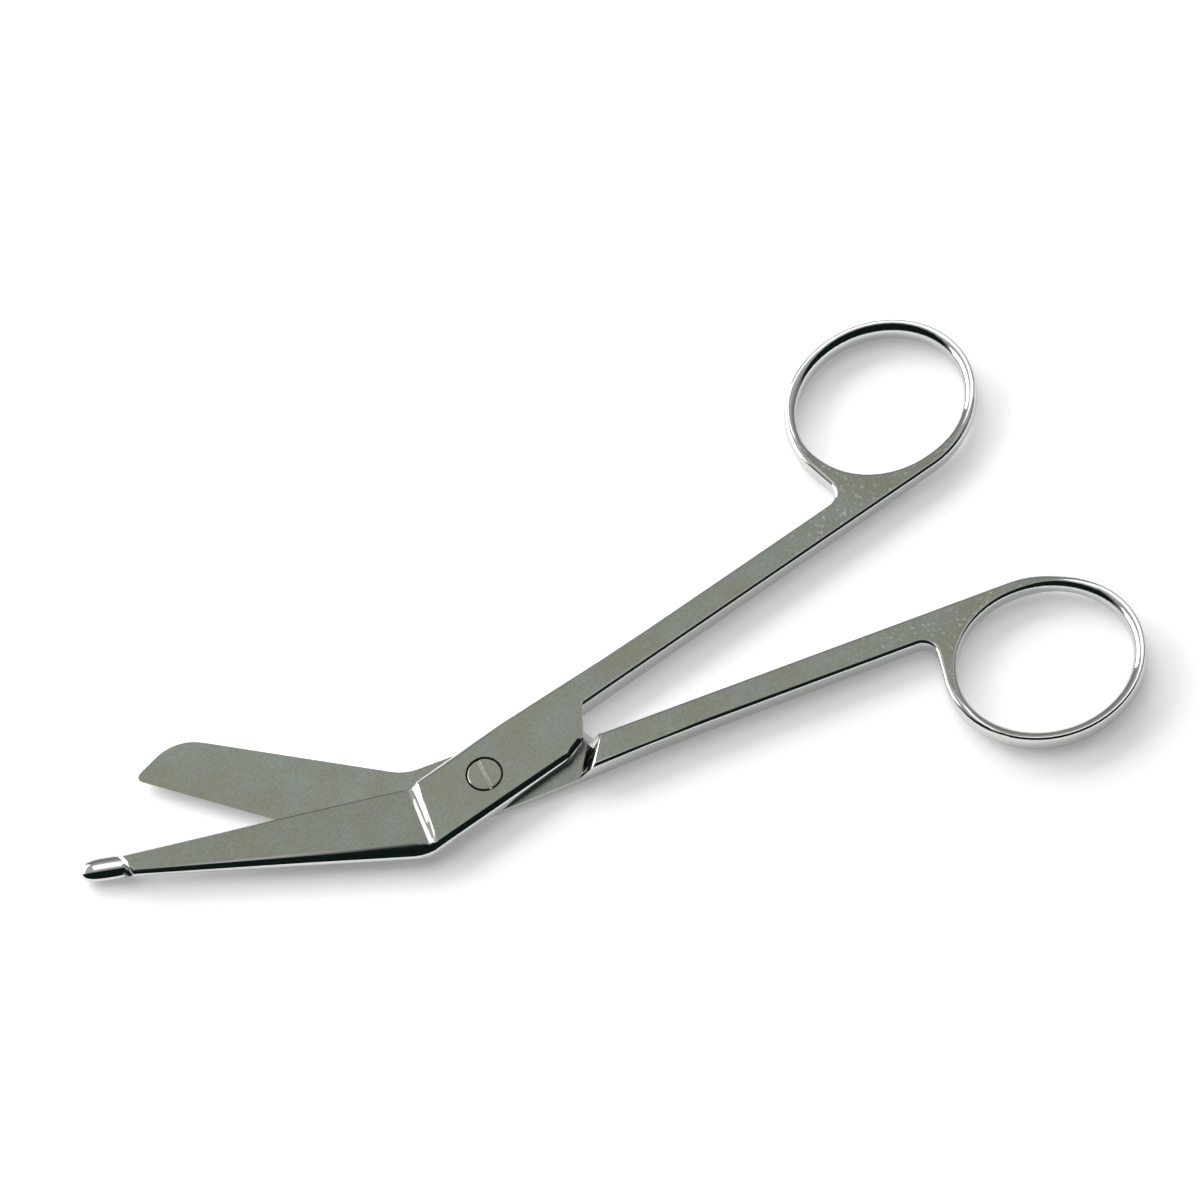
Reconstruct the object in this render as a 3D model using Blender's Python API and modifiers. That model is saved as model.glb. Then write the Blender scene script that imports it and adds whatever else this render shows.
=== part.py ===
"""Bandage scissors: two forged steel halves, lap-jointed on a slotted pivot screw.

Each half is one forging: finger ring, shank, joint plate, shoulder and blade. The lower blade
ends in a blunt probe that slides under a dressing. The scissors lie flat, a little open.

A half is modelled in its own frame, in which it is the upper one: X runs from the pivot along
the closed shanks to the ring, Y points away from the other half, and Z = 0 is the joint plane.
"""
import math
from collections import namedtuple

import bmesh
import bpy
from mathutils import Matrix, Vector

MM = 0.001

# How far the scissors are open, and the room left between the halves
OPEN_ANGLE = math.radians(15.2)
LAP_GAP = 0.30 * MM
SHANK_GAP = 0.60 * MM
SCREW_GAP = 0.30 * MM
STEP_GAP = 0.62 * MM

# Thickness of the joint, and of the shank where it meets the ring
JOINT_THICKNESS = 4.9 * MM
SHANK_END_THICKNESS = 3.9 * MM
TAPER_START = 18.0 * MM

# Shank and joint plate, seen from above
SHANK_WIDTH = 5.2 * MM
SHANK_WAIST = 34.0 * MM
PLATE_WIDTH = 13.0 * MM
PLATE_REACH = 3.0 * MM
PLATE_CORNER = 13.5 * MM
END_CORNER = -5.3 * MM

# Lap step: its slope lies square to a line at this angle from the shank
LAP_ANGLE = math.radians(32.0)
LAP_FOOT = 16.2 * MM
LAP_RUN = 2.4 * MM

# Finger ring: an ellipse that touches the line of the shank's inner edge
RING_CENTRE = 98.4 * MM
RING_LENGTH = 36.2 * MM
RING_WIDTH = 32.1 * MM
RING_BAR = 2.45 * MM
RING_HEIGHT = 4.8 * MM
RING_ROOT = 81.8 * MM
RING_ROOT_ANGLE = math.radians(193.0)

# The shank's flats run out along the ring as two horns, and the bar then rises to full height
HORN_MIDDLE = math.radians(234.0)
HORN_START = math.radians(38.0)
HORN_END = math.radians(68.0)
RISE_END = math.radians(118.0)

# Rims: width seen from above, depth, and how far the rounding turns
SHANK_RIM = (0.65 * MM, 0.70 * MM, math.radians(82.0))
PLATE_RIM = (1.10 * MM, 1.25 * MM, math.radians(78.0))
END_RIM = (0.25 * MM, 0.25 * MM, math.radians(70.0))
RING_CREST = 0.04 * MM
RING_RIM_SHARE = 0.85
EDGE_BEVEL = 0.60 * MM
EDGE_LAND = 0.10 * MM
EDGE_SWEEP = math.radians(8.0)
SPINE_LAND = 0.35 * MM
SPINE_SWEEP = math.radians(62.0)

# Fillets of the outline
RING_ROOT_FILLET = 2.6 * MM
EDGE_FILLET = 2.0 * MM
STEP_FILLET = 1.2 * MM
HEEL_FILLET = 5.0 * MM
TIP_FILLET = 1.0 * MM
NOSE_FILLET = 9.5 * MM
BEND_FILLET = 8.5 * MM
PLATE_FILLET = 4.0 * MM
END_FILLET = 0.9 * MM
LONG_FILLET = 300.0 * MM

# Shoulder where the joint plate steps down to the thinner blade
SHOULDER_START = 11.6 * MM
SHOULDER_TILT = math.radians(14.9)
SHOULDER_RUN = 1.7 * MM

# Lower blade, which carries the probe
PROBE_EDGE_END = (-59.3 * MM, 27.2 * MM)
PROBE_EDGE_ANGLE = math.radians(156.5)
PROBE_SPINE_ANGLE = math.radians(146.1)
PROBE_END_WIDTH = 3.95 * MM
PROBE_SPINE_RIMS = (2.45 * MM, 0.65 * MM)
PROBE_ROOT_HEIGHT = 1.65 * MM
PROBE_FALL_ALONG = -0.008
PROBE_FALL_ACROSS = 0.072

# Upper blade, with its blunt nose
BLUNT_TIP = (-57.3 * MM, -23.75 * MM)
BLUNT_EDGE_ANGLE = math.radians(-140.9)
BLUNT_SPINE_ANGLE = math.radians(-148.0)
BLUNT_NOSE_ANGLE = math.radians(-27.5)
BLUNT_TIP_WIDTH = 9.0 * MM
BLUNT_SPINE_RIMS = (2.2 * MM, 0.9 * MM)
BLUNT_ROOT_HEIGHT = 1.89 * MM
BLUNT_FALL_ALONG = 0.0266
BLUNT_FALL_ACROSS = 0.048

# Probe: a flattened olive, set low and towards the cutting edge, so that the blade ends in a lip
PROBE_LENGTH = 10.0 * MM
PROBE_WIDTH = 4.5 * MM
PROBE_HEIGHT = 3.2 * MM
PROBE_OFFSET = 1.8 * MM
PROBE_SHIFT = 0.42 * MM
PROBE_LIFT = -0.70 * MM
PROBE_ANGLE = math.radians(152.0)
PROBE_FULLNESS = 2.8

# Lip: the blade's outer face rounds down to the probe along a slanting line
LIP_SETBACK = 1.65 * MM
LIP_RUN = 1.7 * MM
LIP_DROP = 1.0 * MM
LIP_TOP = 1.65 * MM
LIP_FOOT_SLOPE = math.radians(24.0)

# Pivot screw
SCREW_HEAD = 6.0 * MM
SCREW_HEAD_HEIGHT = 0.9 * MM
SCREW_SHANK = 3.4 * MM
SCREW_CHAMFER = 0.15 * MM
SLOT_WIDTH = 0.55 * MM
SLOT_DEPTH = 0.50 * MM
SLOT_ANGLE = math.radians(-93.5)

# How finely the round forms are divided
RIM_STEPS = 5
SHOULDER_STEPS = 4
ROUND_SEGMENTS = 36
RING_STEP = math.radians(6.0)
FILLET_STEP = math.radians(10.0)

# Worked out from the sizes above
LAP = LAP_GAP / 2
TOP = JOINT_THICKNESS / 2
INNER_EDGE = SHANK_GAP / 2
OUTER_EDGE = INNER_EDGE + SHANK_WIDTH
PLATE_EDGE = PLATE_WIDTH / 2
RING_AXIS = INNER_EDGE + RING_WIDTH / 2
END_LIP = TOP - END_RIM[1]
SHANK_FALL = (JOINT_THICKNESS - SHANK_END_THICKNESS) / 2 / (RING_ROOT - TAPER_START)
BELOW = 4.0 * MM
FAR = 100.0 * MM

Corner = namedtuple("Corner", "x y fillet rim angle", defaults=(None,))
Point = namedtuple("Point", "x y rim_before rim_after blend share angle label", defaults=(None,))
Blade = namedtuple("Blade", "corners turn height fall_along fall_across spine_rims")


def clear_scene():
    """Start from an empty scene."""
    for item in list(bpy.data.objects):
        bpy.data.objects.remove(item, do_unlink=True)


def mix(a, b, share):
    """Blend two numbers."""
    return a + (b - a) * share


def ease(value, start, end):
    """Rise smoothly from 0 at start to 1 at end."""
    share = min(max((value - start) / (end - start), 0.0), 1.0)
    return share * share * (3.0 - 2.0 * share)


def meet(point_a, angle_a, point_b, angle_b):
    """Where two lines cross, each given by a point and a direction."""
    ax, ay = math.cos(angle_a), math.sin(angle_a)
    bx, by = math.cos(angle_b), math.sin(angle_b)
    along = ((point_b[0] - point_a[0]) * by - (point_b[1] - point_a[1]) * bx) / (ax * by - ay * bx)
    return point_a[0] + ax * along, point_a[1] + ay * along


def lap_reach(height):
    """Distance of the lap step's slope from the pivot, at a height above the joint plane."""
    return LAP_FOOT + LAP_RUN * (height + LAP) / (TOP + LAP)


def end_x(y, height):
    """Where the joint plate ends, a clearance short of the other half's step."""
    return (lap_reach(height) - STEP_GAP + y * math.sin(LAP_ANGLE)) / math.cos(LAP_ANGLE)


def shank_top(x):
    """Height of the upper flat: level over the joint, then falling towards the ring."""
    return TOP - SHANK_FALL * max(0.0, x - TAPER_START)


def ring_top(x, angle):
    """Height of the ring's crest."""
    turn = abs((angle - HORN_MIDDLE + math.pi) % (2 * math.pi) - math.pi)
    return mix(shank_top(x), RING_HEIGHT / 2, ease(turn, HORN_END, RISE_END))


def ring_rim(top, angle):
    """The ring's rounding: the shank's at its root, an oval bar away from it."""
    turn = abs((angle - HORN_MIDDLE + math.pi) % (2 * math.pi) - math.pi)
    share = ease(turn, HORN_START, HORN_END)
    width = mix(SHANK_RIM[0], RING_BAR / 2 - RING_CREST, share)
    depth = mix(SHANK_RIM[1], top * RING_RIM_SHARE, share)
    return width, top - depth, mix(SHANK_RIM[2], math.radians(89.0), share)


def ring_point(angle, inset=0.0):
    """A point of the ring's outer outline, or of one that lies inside it."""
    x = RING_CENTRE + (RING_LENGTH / 2 - inset) * math.cos(angle)
    y = RING_AXIS + (RING_WIDTH / 2 - inset) * math.sin(angle)
    return x, y


def arc_angles(start, end):
    """Evenly spaced angles from start to end."""
    count = max(1, math.ceil((end - start) / RING_STEP))
    return [start + (end - start) * i / count for i in range(count + 1)]


def probe_corners():
    """Outline of the blade that carries the probe, from its cutting edge round to its spine."""
    root = meet(PROBE_EDGE_END, PROBE_EDGE_ANGLE, (0.0, PLATE_EDGE), 0.0)
    across = PROBE_SPINE_ANGLE + math.pi / 2
    spine_end = (
        PROBE_EDGE_END[0] + PROBE_END_WIDTH * math.cos(across),
        PROBE_EDGE_END[1] + PROBE_END_WIDTH * math.sin(across),
    )
    bend = meet(spine_end, PROBE_SPINE_ANGLE, (0.0, -PLATE_EDGE), 0.0)
    return [
        Corner(*root, EDGE_FILLET, "edge"),
        Corner(*PROBE_EDGE_END, TIP_FILLET, "end"),
        Corner(*spine_end, TIP_FILLET, "spine"),
        Corner(*bend, BEND_FILLET, "plate"),
    ]


def blunt_corners():
    """Outline of the blunt blade, from its heel along the cutting edge round to its spine."""
    heel = meet(BLUNT_TIP, BLUNT_EDGE_ANGLE, (0.0, PLATE_EDGE), 0.0)
    across = BLUNT_SPINE_ANGLE + math.pi / 2
    spine_side = (
        BLUNT_TIP[0] + BLUNT_TIP_WIDTH * math.cos(across),
        BLUNT_TIP[1] + BLUNT_TIP_WIDTH * math.sin(across),
    )
    nose = meet(BLUNT_TIP, BLUNT_NOSE_ANGLE, spine_side, BLUNT_SPINE_ANGLE)
    bend = meet(spine_side, BLUNT_SPINE_ANGLE, (0.0, -PLATE_EDGE), 0.0)
    return [
        Corner(*heel, HEEL_FILLET, "edge"),
        Corner(*BLUNT_TIP, TIP_FILLET, "nose"),
        Corner(*nose, NOSE_FILLET, "spine"),
        Corner(*bend, BEND_FILLET, "plate"),
    ]


def half_corners(blade):
    """Outline of a whole half, anticlockwise from the foot of its shank."""
    corners = [Corner(end_x(INNER_EDGE, END_LIP), INNER_EDGE, STEP_FILLET, "shank")]
    for angle in arc_angles(-math.pi / 2, RING_ROOT_ANGLE):
        corners.append(Corner(*ring_point(angle), 0.0, "ring", angle))
    corners.append(Corner(RING_ROOT, OUTER_EDGE, RING_ROOT_FILLET, "shank"))
    corners.append(Corner(SHANK_WAIST, OUTER_EDGE, LONG_FILLET, "shank"))
    corners.append(Corner(PLATE_REACH, PLATE_EDGE, LONG_FILLET, "plate"))
    corners.extend(blade.corners)
    corners.append(Corner(PLATE_CORNER, -PLATE_EDGE, PLATE_FILLET, "plate"))
    corners.append(Corner(end_x(END_CORNER, END_LIP), END_CORNER, END_FILLET, "end"))
    return corners


def fillet_points(before, corner, after):
    """Points that round one corner of an outline."""
    here = Vector((corner.x, corner.y))
    back = Vector((before.x, before.y)) - here
    ahead = Vector((after.x, after.y)) - here
    turn = math.pi - back.angle(ahead)
    if corner.fillet == 0.0 or turn < 1e-4:
        return [Point(corner.x, corner.y, before.rim, corner.rim, 1.0, 0.0, corner.angle)]
    reach = min(corner.fillet * math.tan(turn / 2), 0.48 * back.length, 0.48 * ahead.length)
    start = here + back.normalized() * reach
    end = here + ahead.normalized() * reach
    radius = reach / math.tan(turn / 2)
    middle = here + (back.normalized() + ahead.normalized()).normalized() * (radius / math.cos(turn / 2))
    spoke_a = start - middle
    spoke_b = end - middle
    count = max(1, math.ceil(turn / FILLET_STEP))
    points = []
    for i in range(count + 1):
        share = i / count
        low = math.sin((1 - share) * turn) / math.sin(turn)
        high = math.sin(share * turn) / math.sin(turn)
        spot = middle + spoke_a * low + spoke_b * high
        points.append(Point(spot.x, spot.y, before.rim, corner.rim, share, 0.0, corner.angle))
    return points


def outline_points(corners):
    """The rounded outline; on a spine, share tells how far along it a point lies."""
    rows = []
    for i, corner in enumerate(corners):
        rows.append(fillet_points(corners[i - 1], corner, corners[(i + 1) % len(corners)]))
    points = [point for row in rows for point in row]
    spine = [i for i, point in enumerate(points) if "spine" in (point.rim_before, point.rim_after)]
    first = Vector(points[spine[0]][:2])
    last = Vector(points[spine[-1]][:2])
    for i in spine:
        share = (Vector(points[i][:2]) - first).length / (last - first).length
        points[i] = points[i]._replace(share=min(share, 1.0))
    return points


def split_outline(points, measure, level, label):
    """Add the two points at which the outline crosses a level, and label them."""
    result = []
    for i, point in enumerate(points):
        result.append(point)
        after = points[(i + 1) % len(points)]
        a, b = measure(point) - level, measure(after) - level
        if (a < 0.0) != (b < 0.0):
            share = a / (a - b)
            x = mix(point.x, after.x, share)
            y = mix(point.y, after.y, share)
            along = mix(point.share, after.share, share)
            rims, blend = (point.rim_after, point.rim_after), 1.0
            if point.rim_before == after.rim_before and point.rim_after == after.rim_after:
                rims, blend = (point.rim_before, point.rim_after), mix(point.blend, after.blend, share)
            result.append(Point(x, y, *rims, blend, along, None, label))
    return result


def drop_crowded(points):
    """Leave out plain points that almost touch a labelled one."""
    kept = []
    for i, point in enumerate(points):
        near = False
        for other in (points[i - 1], points[(i + 1) % len(points)]):
            gap = math.hypot(other.x - point.x, other.y - point.y)
            near = near or (other.label is not None and gap < 0.05 * MM)
        if point.label is not None or not near:
            kept.append(point)
    return kept


def shoulder_distance(blade, x, y):
    """How far a point lies beyond the start of the shoulder, towards the blade."""
    tilt = SHOULDER_TILT * blade.turn
    return -x * math.cos(tilt) + y * math.sin(tilt) - SHOULDER_START


def blade_top(blade, x, y):
    """Height of the blade's ground outer face."""
    tilt = SHOULDER_TILT * blade.turn
    along = shoulder_distance(blade, x, y)
    across = x * math.sin(tilt) + y * math.cos(tilt)
    return blade.height - blade.fall_along * along - blade.fall_across * across


def top_height(blade, point, x, y):
    """Height of the upper face at a place inside the outline point given."""
    if point.angle is not None:
        return ring_top(x, point.angle)
    beyond = shoulder_distance(blade, point.x, point.y)
    if beyond <= 0.0:
        return shank_top(x)
    share = min(beyond / SHOULDER_RUN, 1.0)
    return mix(blade_top(blade, x, y), TOP, (1.0 - share) ** 2)


def rim_size(name, blade, point, top):
    """Width, lower height and sweep of one kind of rim."""
    if name == "ring":
        angle = RING_ROOT_ANGLE if point.angle is None else point.angle
        return ring_rim(top, angle)
    if name == "edge":
        return EDGE_BEVEL, LAP + EDGE_LAND, EDGE_SWEEP
    if name == "nose":
        return blade.spine_rims[1], LAP + SPINE_LAND, SPINE_SWEEP
    if name == "spine":
        width = mix(blade.spine_rims[1], blade.spine_rims[0], point.share)
        return width, LAP + SPINE_LAND, SPINE_SWEEP
    width, depth, sweep = {"shank": SHANK_RIM, "plate": PLATE_RIM, "end": END_RIM}[name]
    return width, top - depth, sweep


def inward_normals(points):
    """For each point, the direction into the material, long enough to keep a mitre's width."""
    normals = []
    for i, point in enumerate(points):
        here = Vector((point.x, point.y))
        before = (here - Vector(points[i - 1][:2])).normalized()
        after = (Vector(points[(i + 1) % len(points)][:2]) - here).normalized()
        side = Vector((-before.y - after.y, before.x + after.x)).normalized()
        square = Vector((-after.y, after.x))
        normals.append(side / max(side.dot(square), 0.5))
    return normals


def rim_rows(bm, blade, points, side):
    """Rows of vertices from the flat face out over the rim; side is 1 above and -1 below."""
    rows = [[] for _ in range(RIM_STEPS + 1)]
    for point, normal in zip(points, inward_normals(points)):
        guess = top_height(blade, point, point.x, point.y)
        before = rim_size(point.rim_before, blade, point, guess)
        after = rim_size(point.rim_after, blade, point, guess)
        width, low, sweep = (mix(a, b, point.blend) for a, b in zip(before, after))
        inner_x = point.x + normal.x * width
        inner_y = point.y + normal.y * width
        top = top_height(blade, point, inner_x, inner_y)
        if side < 0 and point.angle is None:
            top = TOP - SHANK_FALL * (inner_x - TAPER_START)
            low = top - SHANK_RIM[1]
        for step, row in enumerate(rows):
            turn = sweep * (1.0 - step / RIM_STEPS)
            inward = width * (1.0 - math.cos(turn)) / (1.0 - math.cos(sweep))
            height = low + (top - low) * math.sin(turn) / math.sin(sweep)
            x = point.x + normal.x * inward
            y = point.y + normal.y * inward
            row.append(bm.verts.new((x, y, side * height)))
    return rows


def join_rows(bm, rows):
    """Close the wall between neighbouring rows of vertices."""
    for low, high in zip(rows, rows[1:]):
        for i in range(len(low)):
            j = (i + 1) % len(low)
            bm.faces.new((low[i], low[j], high[j], high[i]))


def labelled(points, label):
    """The two places in the outline that carry a label."""
    return [i for i, point in enumerate(points) if point.label == label]


def ring_index(points, angle):
    """The outline point that lies at an angle of the ring."""
    near = [(abs(point.angle - angle), i) for i, point in enumerate(points) if point.angle is not None]
    return min(near)[1]


def span(row, first, last):
    """Vertices from first to last, going round past the end of the row where needed."""
    if first <= last:
        return row[first:last + 1]
    return row[first:] + row[:last + 1]


def cap_ring(bm, outer, outer_start, hole, hole_count):
    """Flat strip between the ring's outer outline and its hole, away from the root."""
    for i in range(hole_count):
        a, b = outer[outer_start + i], outer[outer_start + i + 1]
        bm.faces.new((a, b, hole[i + 1], hole[i]))


def half_mesh(blade, name):
    """Build the forged blank of a half, whose underside is still full thickness."""
    horn_low = HORN_MIDDLE + HORN_END - 2 * math.pi
    horn_high = HORN_MIDDLE - HORN_END
    corners = half_corners(blade)
    points = outline_points(corners)
    points = split_outline(points, lambda p: p.x, TAPER_START, "taper")
    for step in range(SHOULDER_STEPS + 1):
        level = SHOULDER_RUN * step / SHOULDER_STEPS
        measure = lambda p: shoulder_distance(blade, p.x, p.y)
        points = split_outline(points, measure, level, step)
    points = drop_crowded(points)
    strip = arc_angles(horn_low, horn_high)
    rest = arc_angles(horn_high, horn_low + 2 * math.pi)[1:-1]
    hole = [Point(*ring_point(a, RING_BAR), "ring", "ring", 1.0, 0.0, a) for a in strip + rest]

    first = ring_index(points, horn_low)
    last = ring_index(points, horn_high)
    ring = [Point(*ring_point(a), "ring", "ring", 1.0, 0.0, a) for a in strip]
    points[first:last + 1] = ring
    last = first + len(ring) - 1

    bm = bmesh.new()
    taper_out, taper_in = labelled(points, "taper")
    marks = [labelled(points, step) for step in range(SHOULDER_STEPS + 1)]
    walls = []
    for side in (1, -1):
        outer_rows = rim_rows(bm, blade, points, side)
        hole_rows = rim_rows(bm, blade, hole[::-1], side)
        walls.append((outer_rows, hole_rows))
        outer = outer_rows[0]
        inner = hole_rows[0][::-1]
        cap_ring(bm, outer, first, inner, len(strip) - 1)
        root = span(outer, last, first) + inner[:1] + inner[len(strip) - 1:][::-1]
        if side < 0:
            bm.faces.new(root)
            continue
        flats = span(outer, last, taper_out) + span(outer, taper_in, first)
        bm.faces.new(flats + inner[:1] + inner[len(strip) - 1:][::-1])
        bm.faces.new(span(outer, taper_out, marks[0][0]) + span(outer, marks[0][1], taper_in))
        for near, far in zip(marks, marks[1:]):
            bm.faces.new(span(outer, near[0], far[0]) + span(outer, far[1], near[1]))
        bm.faces.new(span(outer, marks[-1][0], marks[-1][1]))
    for upper, lower in zip(walls[0], walls[1]):
        join_rows(bm, upper + lower[::-1])
    bm.normal_update()
    bmesh.ops.triangulate(bm, faces=[f for f in bm.faces if len(f.verts) > 4])
    return new_mesh(bm, name)


def new_mesh(bm, name):
    """Turn a finished bmesh into a mesh whose faces point outwards."""
    bmesh.ops.recalc_face_normals(bm, faces=bm.faces)
    mesh = bpy.data.meshes.new(name)
    bm.to_mesh(mesh)
    bm.free()
    return mesh


def prism(name, corners, direction):
    """A flat outline drawn out along a direction."""
    bm = bmesh.new()
    base = bm.faces.new([bm.verts.new(corner) for corner in corners])
    grown = bmesh.ops.extrude_face_region(bm, geom=[base])
    moved = [item for item in grown["geom"] if isinstance(item, bmesh.types.BMVert)]
    bmesh.ops.translate(bm, vec=direction, verts=moved)
    return new_mesh(bm, name)


def turned(name, profile):
    """A solid of revolution about Z, from a profile of radius and height."""
    line = bpy.data.meshes.new(name)
    verts = [(radius, 0.0, height) for radius, height in profile]
    line.from_pydata(verts, [(i, i + 1) for i in range(len(verts) - 1)], [])
    spun = bpy.data.objects.new(name, line)
    bpy.context.scene.collection.objects.link(spun)
    screw = spun.modifiers.new("turn", "SCREW")
    screw.steps = ROUND_SEGMENTS
    screw.render_steps = ROUND_SEGMENTS
    screw.use_merge_vertices = True
    screw.merge_threshold = 0.001 * MM
    depsgraph = bpy.context.evaluated_depsgraph_get()
    mesh = bpy.data.meshes.new_from_object(spun.evaluated_get(depsgraph))
    bpy.data.objects.remove(spun, do_unlink=True)
    bm = bmesh.new()
    bm.from_mesh(mesh)
    bmesh.ops.remove_doubles(bm, verts=bm.verts, dist=0.001 * MM)
    return new_mesh(bm, name)


def lap_cutter():
    """Everything below the joint plane, as far as the slope of the half's own lap step."""
    normal = Vector((math.cos(LAP_ANGLE), math.sin(LAP_ANGLE), 0.0))
    along = Vector((-normal.y, normal.x, 0.0))
    side = [(-FAR, LAP), (lap_reach(-LAP), LAP), (lap_reach(BELOW), -BELOW), (-FAR, -BELOW)]
    corners = [normal * reach - along * FAR + Vector((0.0, 0.0, z)) for reach, z in side]
    return prism("lap", corners, along * 2 * FAR)


def end_cutter():
    """Undercut of the joint plate's end, which lies over the other half's lap step."""
    side = INNER_EDGE - 0.02 * MM
    far_x = end_x(INNER_EDGE, END_LIP) + 2 * STEP_FILLET
    bm = bmesh.new()
    rows = []
    for z in (-BELOW, END_LIP - 0.05 * MM):
        plan = ((end_x(-FAR, z), -FAR), (far_x, -FAR), (far_x, side), (end_x(side, z), side))
        rows.append([bm.verts.new((x, y, z)) for x, y in plan])
    bm.faces.new(rows[0])
    bm.faces.new(rows[1])
    join_rows(bm, rows)
    return new_mesh(bm, "end")


def pivot_cutter(counterbored):
    """Hole for the pivot screw, with a seat for the head in the upper half."""
    hole = SCREW_SHANK / 2 + SCREW_GAP
    seat = SCREW_HEAD / 2 + SCREW_GAP
    floor = TOP - SCREW_HEAD_HEIGHT - SCREW_GAP
    above = TOP + BELOW
    profile = [(0.0, -BELOW), (hole, -BELOW), (hole, floor), (seat, floor), (seat, above), (0.0, above)]
    if not counterbored:
        profile = [(0.0, -BELOW), (hole, -BELOW), (hole, above), (0.0, above)]
    return turned("pivot", profile)


def lip_cutter():
    """What is taken off above the lip, where the blade rounds down to its probe."""
    start = PROBE_EDGE_END[0] + LIP_SETBACK
    side = [(-FAR, BELOW), (start, BELOW)]
    for i in range(ROUND_SEGMENTS // 4 + 1):
        turn = math.pi / 2 * i / (ROUND_SEGMENTS // 4)
        side.append((start - LIP_RUN * math.sin(turn), LIP_TOP - LIP_DROP * (1.0 - math.cos(turn))))
    foot = FAR + start - LIP_RUN
    side.append((-FAR, LIP_TOP - LIP_DROP - foot * math.tan(LIP_FOOT_SLOPE)))
    return prism("lip", [(x, 0.0, z) for x, z in side], (0.0, FAR, 0.0))


def probe_mesh():
    """The blunt probe at the end of the lower blade."""
    steps = ROUND_SEGMENTS // 2
    profile = []
    for i in range(steps + 1):
        turn = math.pi * i / steps - math.pi / 2
        flat = abs(math.sin(turn)) ** (2 / PROBE_FULLNESS)
        round_part = max(math.cos(turn), 0.0) ** (2 / PROBE_FULLNESS)
        profile.append((PROBE_WIDTH / 2 * round_part, math.copysign(PROBE_LENGTH / 2 * flat, turn)))
    mesh = turned("probe", profile)
    across = PROBE_SPINE_ANGLE + math.pi / 2
    middle_x = PROBE_EDGE_END[0] + PROBE_END_WIDTH / 2 * math.cos(across)
    middle_y = PROBE_EDGE_END[1] + PROBE_END_WIDTH / 2 * math.sin(across)
    along = Vector((math.cos(PROBE_ANGLE), math.sin(PROBE_ANGLE), 0.0))
    aside = Vector((along.y, -along.x, 0.0))
    centre = Vector((middle_x, middle_y, PROBE_LIFT)) + along * PROBE_OFFSET + aside * PROBE_SHIFT
    flatten = Matrix.Scale(PROBE_HEIGHT / PROBE_WIDTH, 4, Vector((0.0, 0.0, 1.0)))
    lay_down = Matrix.Rotation(math.pi / 2, 4, "Y")
    mesh.transform(Matrix.Translation(centre) @ Matrix.Rotation(PROBE_ANGLE, 4, "Z") @ flatten @ lay_down)
    return mesh


def screw_mesh():
    """The pivot screw: a low round head, and a shank filed flush with the lower half."""
    shank = SCREW_SHANK / 2
    head = SCREW_HEAD / 2
    under = TOP - SCREW_HEAD_HEIGHT
    profile = [
        (0.0, -TOP),
        (shank, -TOP),
        (shank, under),
        (head, under),
        (head, TOP - SCREW_CHAMFER),
        (head - SCREW_CHAMFER, TOP),
        (0.0, TOP),
    ]
    return turned("pivot_screw", profile)


def slot_cutter():
    """The driver slot across the screw's head."""
    x, y = SCREW_HEAD, SLOT_WIDTH / 2
    low = TOP - SLOT_DEPTH
    mesh = prism("slot", [(-x, -y, low), (x, -y, low), (x, y, low), (-x, y, low)], (0.0, 0.0, BELOW))
    mesh.transform(Matrix.Rotation(SLOT_ANGLE, 4, "Z"))
    return mesh


def steel(name, colour, roughness):
    """A metal of its own for one piece."""
    material = bpy.data.materials.new(name)
    material.use_nodes = True
    shader = material.node_tree.nodes["Principled BSDF"]
    shader.inputs["Base Color"].default_value = (*colour, 1.0)
    shader.inputs["Metallic"].default_value = 1.0
    shader.inputs["Roughness"].default_value = roughness
    material.diffuse_color = (*colour, 1.0)
    material.metallic = 1.0
    material.roughness = roughness
    return material


def add_piece(name, mesh, material, collection):
    """Put a piece into the scene; its origin lies on the pivot axis."""
    mesh.materials.append(material)
    piece = bpy.data.objects.new(name, mesh)
    collection.objects.link(piece)
    return piece


def shape(piece, mesh, placing, cutters, operation="DIFFERENCE"):
    """Cut a shape away from a piece, or join it on."""
    mesh.transform(placing)
    tool = bpy.data.objects.new(f"{piece.name}_{mesh.name}", mesh)
    tool.display_type = "WIRE"
    tool.hide_render = True
    cutters.objects.link(tool)
    change = piece.modifiers.new(mesh.name, "BOOLEAN")
    change.operation = operation
    change.solver = "EXACT"
    change.object = tool


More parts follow.
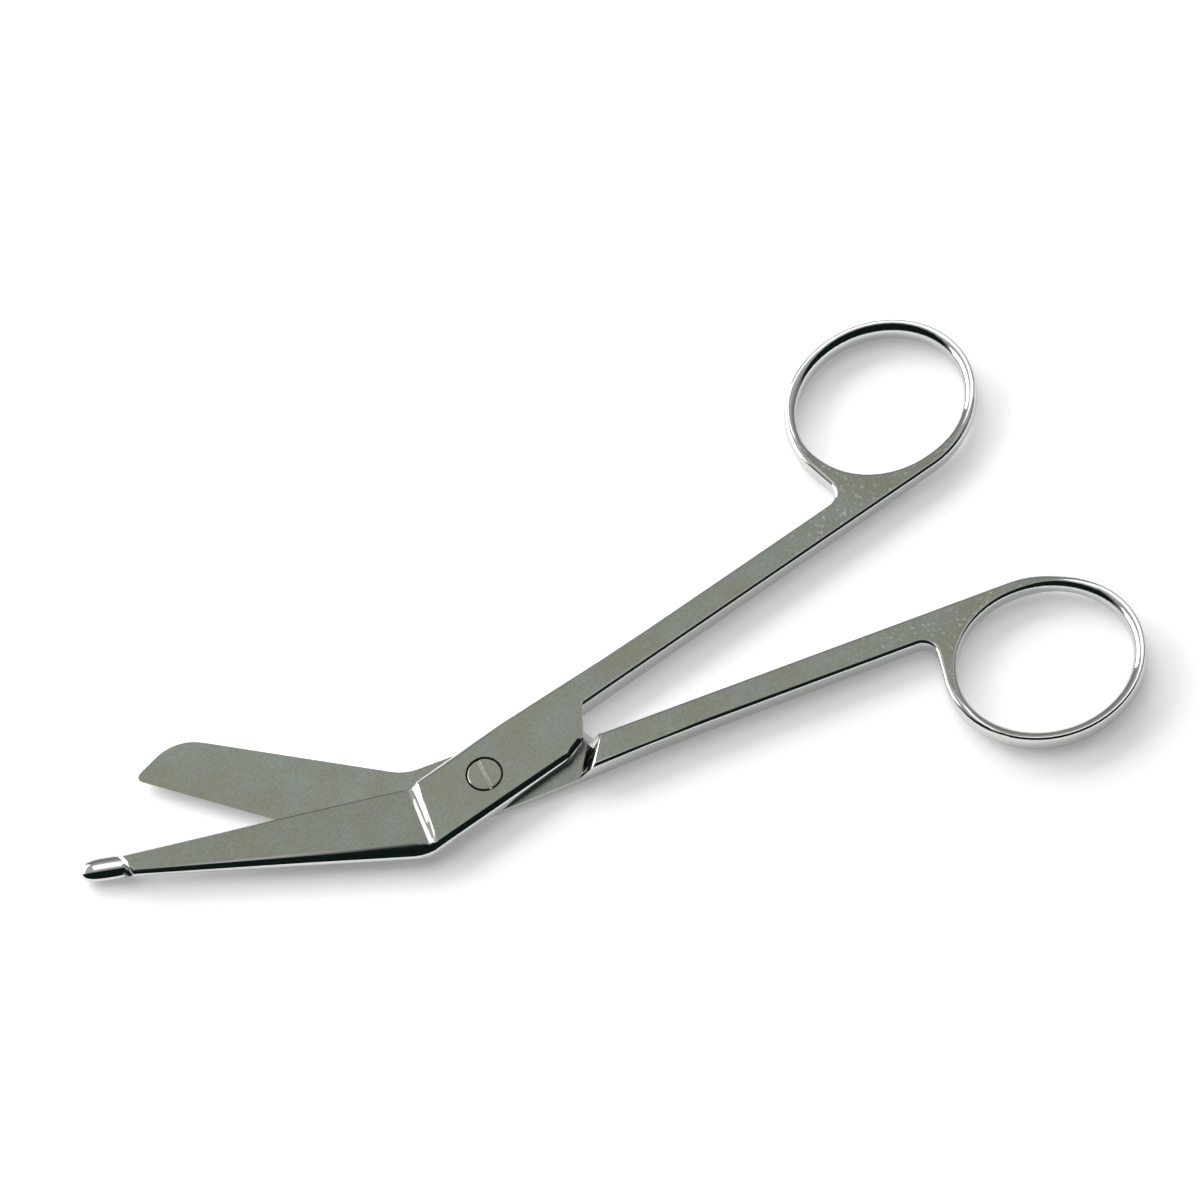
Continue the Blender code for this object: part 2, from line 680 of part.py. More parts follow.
def main():
    """Build the scissors."""
    clear_scene()
    collection = bpy.data.collections.new("bandage_scissors")
    cutters = bpy.data.collections.new("cutters")
    bpy.context.scene.collection.children.link(collection)
    bpy.context.scene.collection.children.link(cutters)

    lift = Matrix.Translation((0.0, 0.0, TOP))
    upper = lift @ Matrix.Rotation(OPEN_ANGLE / 2, 4, "Z")
    lower = lift @ Matrix.Rotation(-OPEN_ANGLE / 2, 4, "Z") @ Matrix.Rotation(math.pi, 4, "X")

    probe_blade = Blade(
        probe_corners(), 1, PROBE_ROOT_HEIGHT, PROBE_FALL_ALONG, PROBE_FALL_ACROSS, PROBE_SPINE_RIMS,
    )
    blunt_blade = Blade(
        blunt_corners(), -1, BLUNT_ROOT_HEIGHT, BLUNT_FALL_ALONG, BLUNT_FALL_ACROSS, BLUNT_SPINE_RIMS,
    )

    steel_probe = steel("probe_half_steel", (0.52, 0.53, 0.50), 0.34)
    probe_half_mesh = half_mesh(probe_blade, "probe_half")
    probe_half_mesh.transform(upper)
    probe_half = add_piece("probe_half", probe_half_mesh, steel_probe, collection)
    shape(probe_half, lap_cutter(), upper, cutters)
    shape(probe_half, end_cutter(), upper, cutters)
    shape(probe_half, pivot_cutter(True), upper, cutters)
    shape(probe_half, lip_cutter(), upper, cutters)
    shape(probe_half, probe_mesh(), upper, cutters, "UNION")

    steel_blunt = steel("blunt_half_steel", (0.50, 0.51, 0.49), 0.36)
    blunt_half_mesh = half_mesh(blunt_blade, "blunt_half")
    blunt_half_mesh.transform(lower)
    blunt_half = add_piece("blunt_half", blunt_half_mesh, steel_blunt, collection)
    shape(blunt_half, lap_cutter(), lower, cutters)
    shape(blunt_half, end_cutter(), lower, cutters)
    shape(blunt_half, pivot_cutter(False), lower, cutters)

    steel_screw = steel("screw_steel", (0.55, 0.55, 0.53), 0.30)
    pivot_screw_mesh = screw_mesh()
    pivot_screw_mesh.transform(lift)
    pivot_screw = add_piece("pivot_screw", pivot_screw_mesh, steel_screw, collection)
    shape(pivot_screw, slot_cutter(), lift, cutters)


main()
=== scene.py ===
import math

import bmesh
import bpy
from bpy.props import FloatProperty, PointerProperty, StringProperty
from mathutils import Matrix, Vector


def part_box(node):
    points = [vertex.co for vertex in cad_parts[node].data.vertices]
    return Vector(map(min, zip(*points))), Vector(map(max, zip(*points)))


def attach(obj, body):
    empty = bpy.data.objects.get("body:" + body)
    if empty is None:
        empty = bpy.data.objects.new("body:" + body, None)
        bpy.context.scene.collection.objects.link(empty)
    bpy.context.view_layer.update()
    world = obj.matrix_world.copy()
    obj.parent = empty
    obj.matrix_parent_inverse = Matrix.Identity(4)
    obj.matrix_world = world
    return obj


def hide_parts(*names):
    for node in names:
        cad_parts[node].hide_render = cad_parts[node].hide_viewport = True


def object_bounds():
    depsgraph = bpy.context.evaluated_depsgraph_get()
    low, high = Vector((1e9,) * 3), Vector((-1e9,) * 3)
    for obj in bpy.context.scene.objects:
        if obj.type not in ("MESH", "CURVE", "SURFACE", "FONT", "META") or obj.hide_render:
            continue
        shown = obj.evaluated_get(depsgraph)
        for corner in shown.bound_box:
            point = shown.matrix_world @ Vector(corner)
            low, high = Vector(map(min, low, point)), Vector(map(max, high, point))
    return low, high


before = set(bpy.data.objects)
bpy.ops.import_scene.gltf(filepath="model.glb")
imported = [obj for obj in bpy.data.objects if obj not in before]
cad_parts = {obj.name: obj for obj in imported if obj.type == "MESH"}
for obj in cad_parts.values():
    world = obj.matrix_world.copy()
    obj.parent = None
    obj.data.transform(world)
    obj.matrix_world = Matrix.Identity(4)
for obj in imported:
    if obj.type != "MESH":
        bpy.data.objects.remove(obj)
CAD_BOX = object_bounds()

bl_info = {
    "name": "Bandage scissors",
    "version": (1, 0, 0),
    "blender": (4, 5, 0),
    "location": "3D View > Sidebar > Scissors",
    "description": "Satin-ground and polished steel for bandage scissors, with their studio",
    "category": "Object",
}

MM = 0.001
LOW, HIGH = CAD_BOX
SCREW_LOW, SCREW_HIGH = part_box("pivot_screw")
HEAD_RADIUS = (SCREW_HIGH.x - SCREW_LOW.x) / 2

# Cleaning a copy of a CAD solid: points this near are one, and faces this level are one
MERGE_GAP = 0.002 * MM
LEVEL_ANGLE = math.radians(0.3)

# Worn edges: those this crisp lose this width, in this many steps
CRISP_ANGLE = math.radians(32.0)
EDGE_WEAR = 0.06 * MM
WEAR_STEPS = 2
WEAR_MERGE_GAP = 0.001 * MM

# Faces this level and this large are ground flats; the rest is polished
FLAT_NORMAL = 0.985
FLAT_AREA = 6.0 * MM * MM
SMOOTH_ANGLE = math.radians(28.0)

# Sizes of the patterns in the steel. A belt leaves scratches about 0.03 mm wide, and the pits are
# about 0.1 mm, both too fine to show, so they are drawn five times as coarse as they are.
BELT_LINE = 3.2 * MM
BELT_LINES_ACROSS = 22.0
PATCH = 7.0 * MM
PIT = 0.55 * MM
NICK = 0.7 * MM
HAZE = 2.4 * MM
RIPPLE = 4.0 * MM
# Size of the mottle in the painted shade of the screw's gaps
SHADE_MOTTLE = 0.6 * MM

# How far the belt ran askew of the part's X, in radians: mirrored on the two halves
HALF_BELT_TURN = 0.13
SCREW_BELT_TURN = 0.6

# The part of a pattern's range over which colour or roughness changes, and the share of the tone
# that is left at its two ends
PATCH_RANGE = (0.30, 0.70)
LINE_RANGE, LINE_TONES = (0.25, 0.75), (0.86, 1.10)
PIT_RANGE, PIT_TONES = (0.30, 0.72), (0.88, 1.12)
HAZE_RANGE = (0.3, 0.7)
# The range below mottles the painted shade in the screw's gaps
SHADE_MOTTLE_RANGE = (0.35, 0.75)
NICK_RANGE, NICK_STRENGTH = (0.60, 0.74), 0.6
NICK_BRIGHT = "#b4bab2"
# Lighter grey mottled into the painted shade of the screw's gaps
PAINTED_SHADE_LIGHT_TONE = "#4a4c46"

# Roughness of the smoothest and the roughest places, and how far the patterns stand out
SATIN_ROUGHNESS = (0.36, 0.50)
SATIN_RELIEF = {"Strength": 0.12, "Distance": 0.02 * MM}
POLISH_ROUGHNESS = (0.05, 0.11)
POLISH_RELIEF = {"Strength": 0.08, "Distance": 0.03 * MM}
# Roughness and relief of the painted shade in the screw's gaps
PAINTED_SHADE_ROUGHNESS = 0.6
PAINTED_SHADE_RELIEF = {"Strength": 0.3, "Distance": 0.02 * MM}

# Where the nicks near the finger rings start and are full, along the handles
NICKS_FROM = 58.0 * MM
NICKS_FULL = 76.0 * MM

# The finger ring of the probe half; the other one is its mirror image in Y. Its bar is ground with
# the crest leaning outwards, except where the flats run on to it, on both sides of FLAT_MIDDLE.
# RING_BAR is a little under the bar's width, so that its walls stay where they are.
RING_CENTRE = (95.37 * MM, 29.22 * MM)
RING_TURN = math.radians(7.6)
RING_RADII = (16.88 * MM, 14.83 * MM)
RING_BAR = 2.38 * MM
CREST_LEAN = 0.55 * MM
FLAT_MIDDLE = math.radians(234.0)
LEAN_START = math.radians(68.0)
LEAN_FULL = math.radians(98.0)

# Gap round the screw's head, and how far below the flat the painted shade in it starts and ends
SEAT_GAP = 0.35 * MM
SEAT_RIM = 0.04 * MM
SEAT_DEPTH = 1.25 * MM

# The slot in the screw's head: just deeper than it is cut, and its reach as a share of the head's
SLOT_DEPTH = 0.53 * MM
SLOT_REACH = 0.93

# The camera of the photograph, in the photograph's frame, which is the part's own turned by
# HANDLE_TURN: the focal length in pixels, the tilt from straight down, the roll, the distance,
# and where the pivot stands from the point that the lens is aimed at
PHOTO_PIXELS = 1200
PHOTO_FOCUS = 5294.0
CAMERA_TILT = math.radians(26.2)
CAMERA_ROLL = math.radians(-10.3)
CAMERA_DISTANCE = 936.0 * MM
PIVOT_FROM_AIM = (-25.20 * MM, -30.35 * MM)
HANDLE_TURN = math.radians(18.83)
SENSOR_WIDTH = 36.0

# The white paper, its side in metres, and the light of its own that the camera and the steel see
PAPER_SIZE = 6.0
PAPER = "#efeff0"
PAPER_ROUGHNESS = 0.9
PAPER_GLOW = 0.26

# The room: dark on the camera's side, grey elsewhere, and lighter overhead. The limits are the Y
# and the Z of a direction of length 1, in the photograph's frame.
DARK_SIDE = "#141f1e"
DARK_Y, GREY_Y = -0.26, -0.08
GREY_Z, LIGHT_Z = 0.45, 0.80
ROOM_LEVEL, CEILING_LEVEL = 0.28, 0.55

# The softboxes: width and height in metres, power in watts, direction and elevation in degrees in
# the photograph's frame, and distance in metres
OVERHEAD_SOFTBOX = ((1.0, 0.7), 2.6, 90.0, 70.0, 1.2)
WINDOW_SOFTBOX = ((0.9, 0.6), 7.5, 152.0, 20.0, 0.9)
BACK_SOFTBOX = ((1.4, 0.6), 11.5, 106.0, 28.0, 1.0)

# The colour inputs and the colour output of a Mix node, whose names are used more than once
MIX_A, MIX_B = 6, 7
MIX_RESULT = 2


def linear(hex_colour):
    """An sRGB hex colour as linear RGBA."""
    channels = [int(hex_colour[i:i + 2], 16) / 255 for i in (1, 3, 5)]
    rgb = [c / 12.92 if c <= 0.04045 else ((c + 0.055) / 1.055) ** 2.4 for c in channels]
    return (*rgb, 1.0)


def grey(value):
    """A linear grey."""
    return (value, value, value, 1.0)


def add_node(tree, kind, inputs=None, stops=(), **settings):
    """Add a node. Inputs gives values or output sockets by the input's name or number, and stops
    gives a colour ramp its two (place, colour) pairs."""
    node = tree.nodes.new(kind)
    for name, value in settings.items():
        setattr(node, name, value)
    for name, value in (inputs or {}).items():
        if isinstance(value, bpy.types.NodeSocket):
            tree.links.new(value, node.inputs[name])
        else:
            node.inputs[name].default_value = value
    for number, (place, colour) in enumerate(stops):
        node.color_ramp.elements[number].position = place
        node.color_ramp.elements[number].color = colour
    return node


def new_material(name):
    """An empty material with its Principled shader."""
    material = bpy.data.materials.new(name)
    material.use_nodes = True
    tree = material.node_tree
    return material, tree, tree.nodes["Principled BSDF"]


def satin_ground_steel(name, base, shade, belt_turn):
    """Forged stainless steel whose flats were ground on a fine belt: a dull, even grey with faint
    lines along the belt, small pits, patches where handling has dulled it, and a scatter of bright
    nicks at the finger rings, where the scissors knock against others in the tray."""
    material, tree, shader = new_material(name)
    place = add_node(tree, "ShaderNodeTexCoord").outputs["Object"]
    along = add_node(tree, "ShaderNodeMapping", {
        "Vector": place,
        "Rotation": (0.0, 0.0, belt_turn),
        "Scale": (1.0, BELT_LINES_ACROSS, 1.0),
    }).outputs["Vector"]
    lines = add_node(tree, "ShaderNodeTexNoise", {
        "Vector": along, "Scale": 1 / BELT_LINE, "Detail": 4.0, "Roughness": 0.6,
    }).outputs["Fac"]
    patches = add_node(tree, "ShaderNodeTexNoise", {
        "Vector": place, "Scale": 1 / PATCH, "Detail": 3.0, "Roughness": 0.55,
    }).outputs["Fac"]
    pits = add_node(tree, "ShaderNodeTexNoise", {
        "Vector": place, "Scale": 1 / PIT, "Detail": 2.0, "Roughness": 0.7,
    }).outputs["Fac"]
    knocks = add_node(tree, "ShaderNodeTexNoise", {
        "Vector": place, "Scale": 1 / NICK, "Detail": 1.0,
    }).outputs["Fac"]

    # The patches give the tone, and the lines and pits darken and lighten it
    colour = add_node(
        tree, "ShaderNodeValToRGB", {"Fac": patches},
        stops=zip(PATCH_RANGE, (linear(shade), linear(base))),
    ).outputs["Color"]
    for pattern, reach, tones in ((lines, LINE_RANGE, LINE_TONES), (pits, PIT_RANGE, PIT_TONES)):
        tone = add_node(
            tree, "ShaderNodeValToRGB", {"Fac": pattern}, stops=zip(reach, map(grey, tones)),
        ).outputs["Color"]
        colour = add_node(tree, "ShaderNodeMix", {
            "Factor": 1.0, MIX_A: colour, MIX_B: tone,
        }, data_type="RGBA", blend_type="MULTIPLY").outputs[MIX_RESULT]

    # The nicks lie over it, and only near the rings
    near_ring = add_node(tree, "ShaderNodeMapRange", {
        "Value": add_node(tree, "ShaderNodeSeparateXYZ", {"Vector": place}).outputs["X"],
        "From Min": NICKS_FROM, "From Max": NICKS_FULL,
    }).outputs["Result"]
    nick = add_node(tree, "ShaderNodeMapRange", {
        "Value": knocks,
        "From Min": NICK_RANGE[0], "From Max": NICK_RANGE[1], "To Max": NICK_STRENGTH,
    }).outputs["Result"]
    nicked = add_node(tree, "ShaderNodeMath", {
        0: near_ring, 1: nick,
    }, operation="MULTIPLY").outputs["Value"]
    colour = add_node(tree, "ShaderNodeMix", {
        "Factor": nicked, MIX_A: colour, MIX_B: linear(NICK_BRIGHT),
    }, data_type="RGBA").outputs[MIX_RESULT]
    tree.links.new(colour, shader.inputs["Base Color"])
    shader.inputs["Metallic"].default_value = 1.0

    rough = add_node(tree, "ShaderNodeMapRange", {
        "Value": lines,
        "From Min": LINE_RANGE[0], "From Max": LINE_RANGE[1],
        "To Min": SATIN_ROUGHNESS[0], "To Max": SATIN_ROUGHNESS[1],
    }).outputs["Result"]
    tree.links.new(rough, shader.inputs["Roughness"])
    height = add_node(tree, "ShaderNodeMath", {
        0: lines, 1: pits,
    }, operation="ADD").outputs["Value"]
    bump = add_node(tree, "ShaderNodeBump", {"Height": height, **SATIN_RELIEF}).outputs["Normal"]
    tree.links.new(bump, shader.inputs["Normal"])
    return material


def polished_steel(name, base):
    """The same steel, buffed bright on every rounded edge: sharp reflections with a soft haze and
    a few shallow ripples that the buffing wheel left."""
    material, tree, shader = new_material(name)
    place = add_node(tree, "ShaderNodeTexCoord").outputs["Object"]
    haze = add_node(tree, "ShaderNodeTexNoise", {
        "Vector": place, "Scale": 1 / HAZE, "Detail": 4.0, "Roughness": 0.6,
    }).outputs["Fac"]
    ripple = add_node(tree, "ShaderNodeTexNoise", {
        "Vector": place, "Scale": 1 / RIPPLE, "Detail": 2.0,
    }).outputs["Fac"]
    shader.inputs["Base Color"].default_value = linear(base)
    shader.inputs["Metallic"].default_value = 1.0
    rough = add_node(tree, "ShaderNodeMapRange", {
        "Value": haze,
        "From Min": HAZE_RANGE[0], "From Max": HAZE_RANGE[1],
        "To Min": POLISH_ROUGHNESS[0], "To Max": POLISH_ROUGHNESS[1],
    }).outputs["Result"]
    tree.links.new(rough, shader.inputs["Roughness"])
    bump = add_node(tree, "ShaderNodeBump", {"Height": ripple, **POLISH_RELIEF}).outputs["Normal"]
    tree.links.new(bump, shader.inputs["Normal"])
    return material


def painted_gap_shade(name, base):
    """Painted shade for the narrow gaps at the screw, standing in for the shade that falls there:
    nearly black, mottled with a lighter grey, dull and slightly bumpy."""
    material, tree, shader = new_material(name)
    place = add_node(tree, "ShaderNodeTexCoord").outputs["Object"]
    mottle = add_node(tree, "ShaderNodeTexNoise", {
        "Vector": place, "Scale": 1 / SHADE_MOTTLE, "Detail": 3.0,
    }).outputs["Fac"]
    tone = add_node(
        tree, "ShaderNodeValToRGB", {"Fac": mottle},
        stops=zip(SHADE_MOTTLE_RANGE, (linear(base), linear(PAINTED_SHADE_LIGHT_TONE))),
    ).outputs["Color"]
    tree.links.new(tone, shader.inputs["Base Color"])
    shader.inputs["Roughness"].default_value = PAINTED_SHADE_ROUGHNESS
    bump = add_node(tree, "ShaderNodeBump", {"Height": mottle, **PAINTED_SHADE_RELIEF}).outputs["Normal"]
    tree.links.new(bump, shader.inputs["Normal"])
    return material


def edit(piece):
    """Enter edit mode on one piece with nothing selected."""
    bpy.ops.object.select_all(action="DESELECT")
    bpy.context.view_layer.objects.active = piece
    piece.select_set(True)
    bpy.ops.object.mode_set(mode="EDIT")
    bpy.ops.mesh.select_all(action="DESELECT")
    return bmesh.from_edit_mesh(piece.data)


def leave_edit(piece):
    """Write the edit back and leave edit mode."""
    bmesh.update_edit_mesh(piece.data)
    bpy.ops.object.mode_set(mode="OBJECT")


def forged_copy(node, name):
    """A copy of a CAD solid, whole and with its flats as single faces."""
    piece = bpy.data.objects.new(name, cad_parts[node].data.copy())
    bpy.context.scene.collection.objects.link(piece)
    piece.data.materials.clear()
    edit(piece)
    bpy.ops.mesh.select_all(action="SELECT")
    bpy.ops.mesh.remove_doubles(threshold=MERGE_GAP)
    bpy.ops.mesh.dissolve_limited(angle_limit=LEVEL_ANGLE)
    bpy.ops.object.mode_set(mode="OBJECT")
    return piece


def break_edges(piece, width):
    """Take the sharpness off the crisp edges, as handling and buffing do."""
    bm = edit(piece)
    bpy.context.tool_settings.mesh_select_mode = (False, True, False)
    for e in bm.edges:
        if len(e.link_faces) == 2 and e.calc_face_angle() > CRISP_ANGLE:
            e.select_set(True)
    bmesh.update_edit_mesh(piece.data)
    bpy.ops.mesh.bevel(offset=width, segments=WEAR_STEPS, affect="EDGES", clamp_overlap=True)
    bpy.ops.mesh.select_all(action="SELECT")
    bpy.ops.mesh.remove_doubles(threshold=WEAR_MERGE_GAP)
    bpy.ops.mesh.normals_make_consistent(inside=False)
    leave_edit(piece)
    bpy.context.tool_settings.mesh_select_mode = (True, False, False)


def lean_ring(piece, side):
    """Lean the upper crest of a finger ring outwards, so that the bar slopes broadly inside. Points
    move most at the middle of the bar, and not at all where the flat runs on to it."""
    bm = edit(piece)
    centre = Vector((RING_CENTRE[0], side * RING_CENTRE[1]))
    for v in bm.verts:
        if v.co.z < (LOW.z + HIGH.z) / 2:
            continue
        place = Matrix.Rotation(-side * RING_TURN, 2) @ (v.co.xy - centre)
        share = math.hypot(place.x / RING_RADII[0], place.y / RING_RADII[1])
        aside = (share - 1) * place.length / share
        near_crest = max(1 - abs(aside) / (RING_BAR / 2), 0)
        turn = math.atan2(side * place.y, place.x) - FLAT_MIDDLE
        turn = abs((turn + math.pi) % (2 * math.pi) - math.pi)
        off_flat = min(max((turn - LEAN_START) / (LEAN_FULL - LEAN_START), 0), 1)
        v.co.xy += (v.co.xy - centre).normalized() * CREST_LEAN * near_crest * off_flat
    leave_edit(piece)


def finish_steel(piece, ground, polished):
    """Ground steel on the flats and polished steel on all others, with a crisp line between."""
    piece.data.materials.append(ground)
    piece.data.materials.append(polished)
    bm = edit(piece)
    for face in bm.faces:
        flat = abs(face.normal.z) > FLAT_NORMAL and face.calc_area() > FLAT_AREA
        face.material_index = 0 if flat else 1
    for e in bm.edges:
        if len({face.material_index for face in e.link_faces}) > 1:
            e.smooth = False
    leave_edit(piece)
    bpy.ops.object.shade_smooth_by_angle(angle=SMOOTH_ANGLE, keep_sharp_edges=True)


def faces_at_screw(piece, reach, depth):
    """The faces within reach of the screw's axis, from just under the flat down to a depth."""
    middle = (SCREW_LOW + SCREW_HIGH) / 2
    return [
        face for face in piece.data.polygons
        if math.hypot(face.center.x - middle.x, face.center.y - middle.y) < reach
        and SEAT_RIM < SCREW_HIGH.z - face.center.z < depth
    ]


def paint_seat_shade(piece, grime):
    """Painted shade on the walls and floor of the screw's seat in the upper half, where the narrow
    gap is in shade.
    """
    piece.data.materials.append(grime)
    for face in faces_at_screw(piece, HEAD_RADIUS + SEAT_GAP, SEAT_DEPTH):
        face.material_index = len(piece.data.materials) - 1


def dress_slot(piece, worn, grime):
    """The slot's floor, scraped bright by screwdrivers, between walls with painted shade on them.
    """
    piece.data.materials.append(worn)
    piece.data.materials.append(grime)
    last = len(piece.data.materials) - 1
    for face in faces_at_screw(piece, HEAD_RADIUS * SLOT_REACH, SLOT_DEPTH):
        face.material_index = last - 1 if face.normal.z > FLAT_NORMAL else last


def dress_half(piece, side, look, label):
    """Shape a half's ring, wear its edges and give it its steel; side is 1 or -1 in Y."""
    lean_ring(piece, side)
    break_edges(piece, look.edge_wear)
    ground = satin_ground_steel(
        "Satin-ground steel, " + label, look.ground, look.ground_shade, side * HALF_BELT_TURN,
    )
    finish_steel(piece, ground, polished_steel("Polished steel, " + label, look.polished))


class ScissorsSteel(bpy.types.PropertyGroup):
    """The colours of the steel and the wear of its edges."""

    ground: StringProperty(
        name="Ground flats",
        description="Colour of the satin flats",
        default="#7f8780",
    )
    ground_shade: StringProperty(
        name="Ground shade",
        description="Colour of the duller patches",
        default="#7c7e70",
    )
    polished: StringProperty(
        name="Polished edges",
        description="Colour of the bright edges",
        default="#cfd1cd",
    )
    screw: StringProperty(
        name="Screw",
        description="Colour of the screw's head",
        default="#84877e",
    )
    slot: StringProperty(
        name="Screw slot",
        description="Colour of the scraped floor of the slot",
        default="#c9c4ba",
    )
    # Colour of the painted shade in the seat round the screw's head and on the slot's walls
    grime: StringProperty(
        name="Painted shade",
        description="Colour of the grime in the screw's seat",
        default="#191b19",
    )
    edge_wear: FloatProperty(
        name="Edge wear",
        description="Width taken off the crisp edges",
        default=EDGE_WEAR,
        unit="LENGTH",
        precision=5,
    )


class ScissorsStudio(bpy.types.PropertyGroup):
    """Where the camera stands."""

    tilt: FloatProperty(
        name="Camera tilt",
        description="Tilt from straight down",
        default=CAMERA_TILT,
        subtype="ANGLE",
    )
    distance: FloatProperty(
        name="Camera distance",
        description="Distance to the middle of the view",
        default=CAMERA_DISTANCE,
        unit="LENGTH",
    )


class SCISSORS_OT_probe_half(bpy.types.Operator):
    """Build the half that carries the probe"""

    bl_idname = "scissors.probe_half"
    bl_label = "Probe half"

    def execute(self, context):
        look = context.scene.scissors_steel
        piece = forged_copy("probe_half", "forged_probe_half")
        dress_half(piece, 1, look, "probe half")
        # Painted shade, nearly black, on the walls and floor of the narrow seat round the screw's
        # head
        paint_seat_shade(piece, painted_gap_shade("Shade painted in gaps", look.grime))
        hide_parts("probe_half")
        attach(piece, "upper")
        return {"FINISHED"}


class SCISSORS_OT_blunt_half(bpy.types.Operator):
    """Build the half with the blunt-nosed blade"""

    bl_idname = "scissors.blunt_half"
    bl_label = "Blunt half"

    def execute(self, context):
        look = context.scene.scissors_steel
        piece = forged_copy("blunt_half", "forged_blunt_half")
        dress_half(piece, -1, look, "blunt half")
        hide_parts("blunt_half")
        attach(piece, "lower")
        return {"FINISHED"}


class SCISSORS_OT_pivot_screw(bpy.types.Operator):
    """Build the slotted pivot screw"""

    bl_idname = "scissors.pivot_screw"
    bl_label = "Pivot screw"

    def execute(self, context):
        look = context.scene.scissors_steel
        piece = forged_copy("pivot_screw", "slotted_pivot_screw")
        break_edges(piece, look.edge_wear / 2)
        ground = satin_ground_steel(
            "Satin-ground steel, screw", look.screw, look.ground_shade, SCREW_BELT_TURN,
        )
        finish_steel(piece, ground, polished_steel("Polished steel, screw", look.polished))
        worn = satin_ground_steel(
            "Scraped steel, screw slot", look.slot, look.screw, SCREW_BELT_TURN,
        )
        # Lighter satin steel on the slot's floor, and painted shade on the slot's walls
        dress_slot(piece, worn, painted_gap_shade("Shade painted in gaps, screw", look.grime))
        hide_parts("pivot_screw")
        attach(piece, "lower")
        return {"FINISHED"}


def camera_matrix(tilt, distance):
    """Where the photograph's camera stands and looks, in the part's frame."""
    back = Vector((0.0, -math.sin(tilt), math.cos(tilt)))
    side = Vector((1.0, 0.0, 0.0))
    up = back.cross(side)
    right = side * math.cos(CAMERA_ROLL) + up * math.sin(CAMERA_ROLL)
    up = back.cross(right)
    middle = (LOW.z + HIGH.z) / 2
    place = back * distance
    place -= Vector((*PIVOT_FROM_AIM, -middle))
    turn = Matrix((right, up, back)).transposed().to_4x4()
    return Matrix.Rotation(-HANDLE_TURN, 4, "Z") @ Matrix.Translation(place) @ turn


def add_camera(tilt, distance):
    """The camera, at the photograph's angle."""
    lens = bpy.data.cameras.new("photo_camera")
    lens.sensor_width = SENSOR_WIDTH
    lens.lens = PHOTO_FOCUS / PHOTO_PIXELS * SENSOR_WIDTH
    camera = bpy.data.objects.new("photo_camera", lens)
    bpy.context.scene.collection.objects.link(camera)
    camera.matrix_world = camera_matrix(tilt, distance)
    bpy.context.scene.camera = camera


def add_floor():
    """A large white floor, which keeps the object's shadow."""
    bpy.ops.object.select_all(action="DESELECT")
    bpy.ops.mesh.primitive_plane_add(size=PAPER_SIZE, location=(0.0, 0.0, LOW.z))
    floor = bpy.context.active_object
    floor.name = "floor"
    material, tree, shader = new_material("White paper")
    shader.inputs["Base Color"].default_value = linear(PAPER)
    shader.inputs["Roughness"].default_value = PAPER_ROUGHNESS
    shader.inputs["Specular IOR Level"].default_value = 0.0
    rays = add_node(tree, "ShaderNodeLightPath")
    seen = rays.outputs["Is Camera Ray"]
    for ray in ("Is Glossy Ray", "Is Transmission Ray"):
        seen = add_node(tree, "ShaderNodeMath", {
            0: seen, 1: rays.outputs[ray],
        }, operation="MAXIMUM").outputs["Value"]
    glow = add_node(tree, "ShaderNodeMath", {
        0: seen, 1: PAPER_GLOW,
    }, operation="MULTIPLY").outputs["Value"]
    tree.links.new(glow, shader.inputs["Emission Strength"])
    shader.inputs["Emission Color"].default_value = grey(1.0)
    floor.data.materials.append(material)


def add_lamp(name, size, power, azimuth, elevation, distance):
    """Add a softbox that is aimed at the middle of the object, by its direction from there."""
    lamp = bpy.data.lights.new(name, "AREA")
    lamp.shape = "RECTANGLE"
    lamp.size, lamp.size_y = size
    lamp.energy = power
    obj = bpy.data.objects.new(name, lamp)
    bpy.context.scene.collection.objects.link(obj)
    azimuth = math.radians(azimuth) - HANDLE_TURN
    elevation = math.radians(elevation)
    direction = Vector((
        math.cos(elevation) * math.cos(azimuth),
        math.cos(elevation) * math.sin(azimuth),
        math.sin(elevation),
    ))
    middle = (LOW + HIGH) / 2
    turn = direction.to_track_quat("Z", "Y").to_matrix().to_4x4()
    obj.matrix_world = Matrix.Translation(middle + direction * distance) @ turn
    return obj


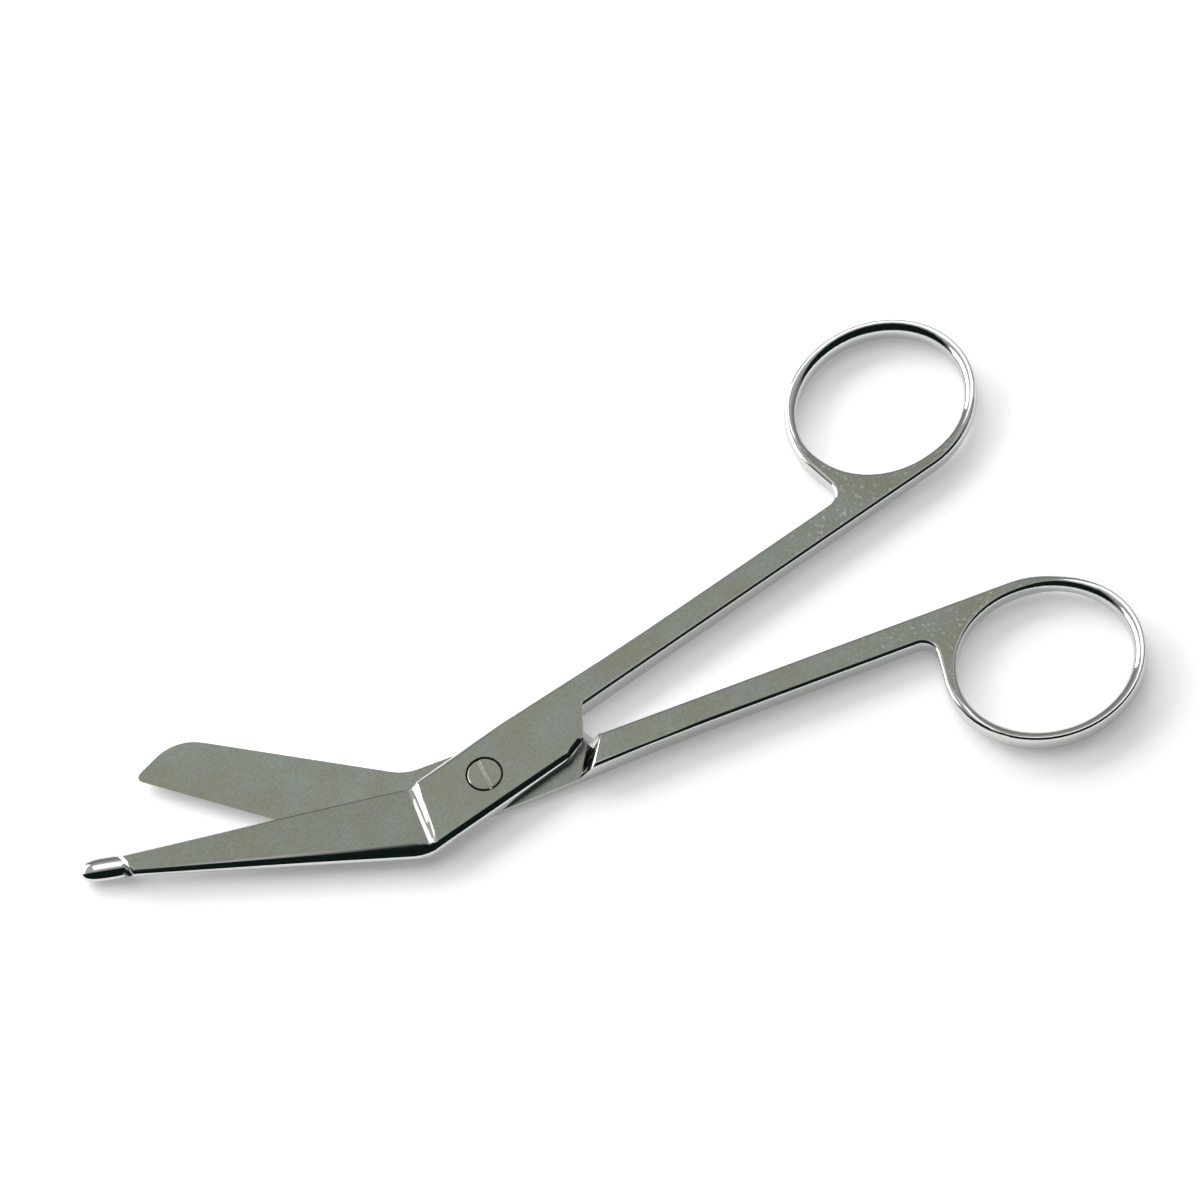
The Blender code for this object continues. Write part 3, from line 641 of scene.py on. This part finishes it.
def light_world():
    """A grey surround: lighter overhead, dim near the horizon, and dark towards the camera's side,
    as a room is behind its lamps."""
    world = bpy.data.worlds.new("studio")
    bpy.context.scene.world = world
    world.use_nodes = True
    tree = world.node_tree
    sky = tree.nodes["Background"]
    way = add_node(tree, "ShaderNodeTexCoord").outputs["Generated"]
    turned = add_node(tree, "ShaderNodeVectorRotate", {
        "Vector": way, "Angle": HANDLE_TURN,
    }, rotation_type="Z_AXIS").outputs["Vector"]
    parts = add_node(tree, "ShaderNodeSeparateXYZ", {"Vector": turned})
    lit = add_node(tree, "ShaderNodeMapRange", {
        "Value": parts.outputs["Y"],
        "From Min": GREY_Y, "From Max": DARK_Y, "To Min": 1.0, "To Max": 0.0,
    }, interpolation_type="SMOOTHSTEP").outputs["Result"]
    level = add_node(tree, "ShaderNodeMapRange", {
        "Value": parts.outputs["Z"],
        "From Min": GREY_Z, "From Max": LIGHT_Z,
        "To Min": ROOM_LEVEL, "To Max": CEILING_LEVEL,
    }, interpolation_type="SMOOTHSTEP").outputs["Result"]
    colour = add_node(tree, "ShaderNodeMix", {
        "Factor": lit, MIX_A: linear(DARK_SIDE), MIX_B: level,
    }, data_type="RGBA").outputs[MIX_RESULT]
    tree.links.new(colour, sky.inputs["Color"])
    sky.inputs["Strength"].default_value = 1.0


class SCISSORS_OT_studio(bpy.types.Operator):
    """Add the floor, the lamps and the photograph's camera"""

    bl_idname = "scissors.studio"
    bl_label = "Studio"

    def execute(self, context):
        studio = context.scene.scissors_studio
        context.scene.view_settings.view_transform = "Standard"
        add_floor()
        light_world()
        add_lamp("overhead softbox", *OVERHEAD_SOFTBOX)
        add_lamp("window softbox", *WINDOW_SOFTBOX)
        # This one casts the soft shadow on the paper, and no steel mirrors it
        back = add_lamp("back softbox", *BACK_SOFTBOX)
        back.visible_glossy = False
        add_camera(studio.tilt, studio.distance)
        return {"FINISHED"}


class SCISSORS_PT_panel(bpy.types.Panel):
    """The settings, and the pieces and the studio in building order"""

    bl_label = "Scissors"
    bl_space_type = "VIEW_3D"
    bl_region_type = "UI"
    bl_category = "Scissors"

    def draw(self, context):
        for group in (context.scene.scissors_steel, context.scene.scissors_studio):
            for name in group.__annotations__:
                self.layout.prop(group, name)
        for step in STEPS:
            self.layout.operator(step.bl_idname)


STEPS = (
    SCISSORS_OT_probe_half,
    SCISSORS_OT_blunt_half,
    SCISSORS_OT_pivot_screw,
    SCISSORS_OT_studio,
)
CLASSES = (ScissorsSteel, ScissorsStudio, *STEPS, SCISSORS_PT_panel)


def register():
    """Make the panel, its settings and its buttons known."""
    for item in CLASSES:
        bpy.utils.register_class(item)
    bpy.types.Scene.scissors_steel = PointerProperty(type=ScissorsSteel)
    bpy.types.Scene.scissors_studio = PointerProperty(type=ScissorsStudio)


def unregister():
    """Take them away again."""
    del bpy.types.Scene.scissors_studio
    del bpy.types.Scene.scissors_steel
    for item in reversed(CLASSES):
        bpy.utils.unregister_class(item)


def main():
    """Build the scissors and their studio."""
    register()
    bpy.ops.scissors.probe_half()
    bpy.ops.scissors.blunt_half()
    bpy.ops.scissors.pivot_screw()
    bpy.ops.scissors.studio()


if __name__ == "__main__":
    main()
